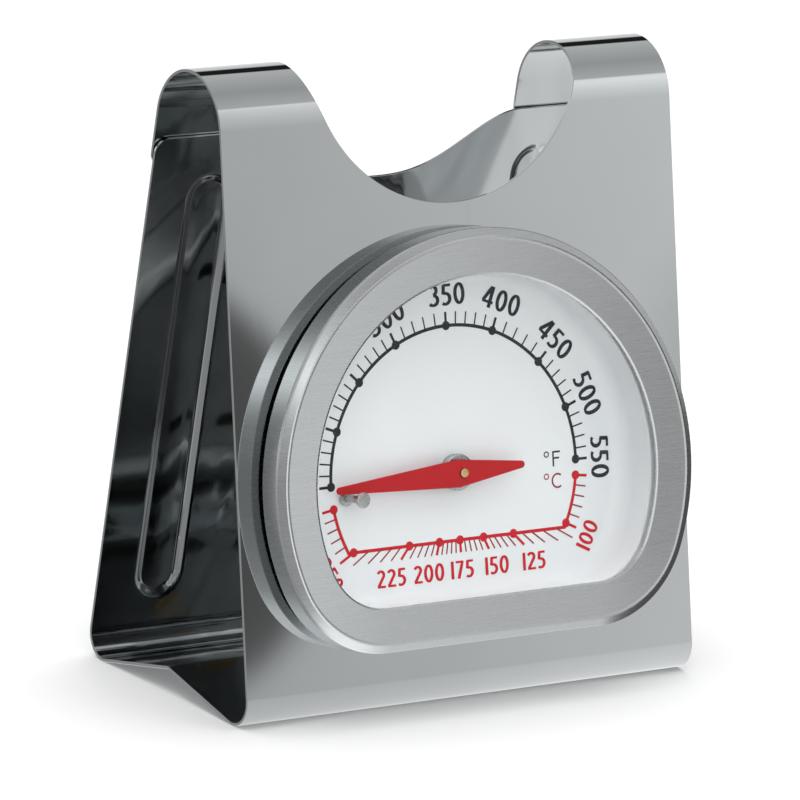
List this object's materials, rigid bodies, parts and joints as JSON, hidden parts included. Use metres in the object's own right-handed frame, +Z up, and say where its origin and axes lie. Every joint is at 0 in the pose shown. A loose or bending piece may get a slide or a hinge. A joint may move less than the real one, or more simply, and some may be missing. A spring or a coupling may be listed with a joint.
{
  "type": "oven thermometer",
  "caption": "Free-standing oven thermometer: a folded polished steel stand with a D-shaped dial gauge, red pointer and dual temperature scale.",
  "frame": {"origin": "centre of the bounding box at the height of the feet", "axes": "+X to the right of someone reading the dial, -Y out of the front, +Z up"},
  "size_m": [0.086, 0.0538, 0.1016],
  "materials": {
    "stand_steel": "polished stainless sheet, very fine satin grain",
    "bezel_steel": "stainless, brushed straight across",
    "case_steel": "plain drawn stainless",
    "lens_glass": "clear flat glass",
    "seal_fibre": "grey heat-proof fibre",
    "dial_enamel": "white enamel with printed scales",
    "pointer_enamel": "red enamel, satin",
    "polished_steel": "bright turned steel",
    "brass": "turned brass",
    "bimetal": "rolled bimetal strip"
  },
  "bodies": {
    "root": {"stand_sheet": "stand_steel", "bezel": "bezel_steel", "glass_lens": "lens_glass", "lens_seal": "seal_fibre", "dial_tray": "dial_enamel", "case_pan": "case_steel", "clamp_ring": "case_steel", "arbor_bushing": "polished_steel", "stop_pin": "polished_steel", "rear_bearing": "brass", "bimetal_coil": "bimetal", "coil_anchor": "polished_steel", "anchor_rivet": "polished_steel"},
    "pointer_assembly": {"arbor": "brass", "pointer": "pointer_enamel", "pointer_washer": "brass", "coil_collet": "brass"}
  },
  "joints": [
    {"name": "pointer_turn", "type": "hinge", "parent": "root", "child": "pointer_assembly", "pos_m": [0, -0.01593, 0.03674], "axis": [0, 0.9848, -0.1736], "range_deg": [0, 182], "stiffness_Nm_per_rad": 0.00002, "springref_deg": -11.46, "deforming": ["bimetal_coil"]}
  ]
}
